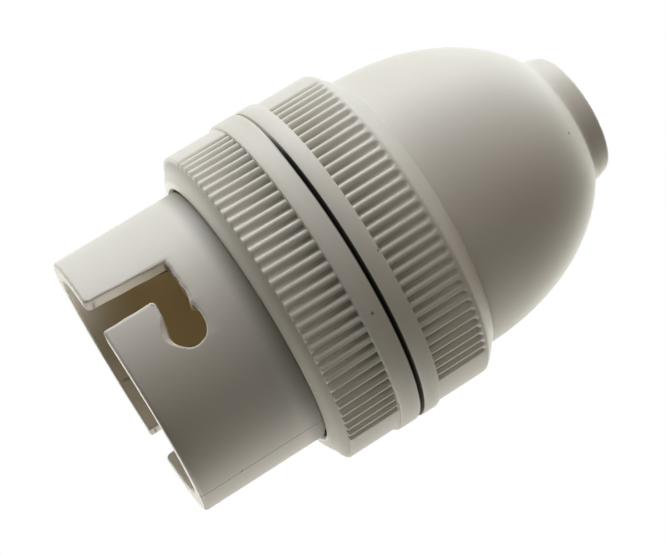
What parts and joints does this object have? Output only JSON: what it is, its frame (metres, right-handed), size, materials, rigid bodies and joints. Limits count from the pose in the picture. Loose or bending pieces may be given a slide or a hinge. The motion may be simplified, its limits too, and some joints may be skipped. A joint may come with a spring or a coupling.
{
  "type": "pendant lamp holder",
  "caption": "White moulded bayonet lamp holder with J-slotted barrel, ribbed shade ring and domed screw cap with a cord neck.",
  "frame": {"origin": "centre of the mouth's rim, on the plane that the holder stands on, which is the bottom centre of the bounding box", "axes": "+Z along the holder's axis from the lamp mouth to the cord neck, -Y faces the middle of the first bayonet slot's travel, +X to the right of that view"},
  "size_m": [0.0342, 0.0342, 0.0515],
  "materials": {
    "barrel_plastic": "satin moulded plastic",
    "ring_plastic": "satin moulded plastic",
    "cap_plastic": "satin moulded plastic",
    "block_plastic": "satin moulded plastic",
    "insulator": "matte",
    "terminal_brass": "turned",
    "plunger_brass": "turned",
    "screw_steel": "plated",
    "spring_steel": "drawn wire"
  },
  "bodies": {
    "holder": {"barrel": "barrel_plastic", "guide_plate": "insulator", "terminal_block": "block_plastic", "terminal_a": "terminal_brass", "terminal_b": "terminal_brass", "spring_a": "spring_steel", "spring_b": "spring_steel", "plate_screw": "screw_steel"},
    "shade_ring": {"shade_ring": "ring_plastic"},
    "cap": {"cap": "cap_plastic"},
    "plunger_a": {"plunger_a": "plunger_brass"},
    "plunger_b": {"plunger_b": "plunger_brass"},
    "terminal_screw_a": {"terminal_screw_a": "screw_steel"},
    "terminal_screw_b": {"terminal_screw_b": "screw_steel"}
  },
  "joints": [
    {"name": "shade_ring_slide", "type": "slide", "parent": "holder", "child": "shade_ring", "axis": [0, 0, -1], "range_m": [0, 0.013]},
    {"name": "cap_lift", "type": "slide", "parent": "holder", "child": "cap", "axis": [0, 0, 1], "range_m": [0, 0.025]},
    {"name": "plunger_a_slide", "type": "slide", "parent": "holder", "child": "plunger_a", "axis": [0, 0, 1], "range_m": [0, 0.004], "stiffness_N_per_m": 1200, "springref_m": -0.001, "deforming": ["spring_a"]},
    {"name": "terminal_screw_a_slide", "type": "slide", "parent": "holder", "child": "terminal_screw_a", "axis": [0.9914, -0.1305, 0], "range_m": [0, 0.001]},
    {"name": "plunger_b_slide", "type": "slide", "parent": "holder", "child": "plunger_b", "axis": [0, 0, 1], "range_m": [0, 0.004], "stiffness_N_per_m": 1200, "springref_m": -0.001, "deforming": ["spring_b"]},
    {"name": "terminal_screw_b_slide", "type": "slide", "parent": "holder", "child": "terminal_screw_b", "axis": [-0.9914, 0.1305, 0], "range_m": [0, 0.001]}
  ]
}
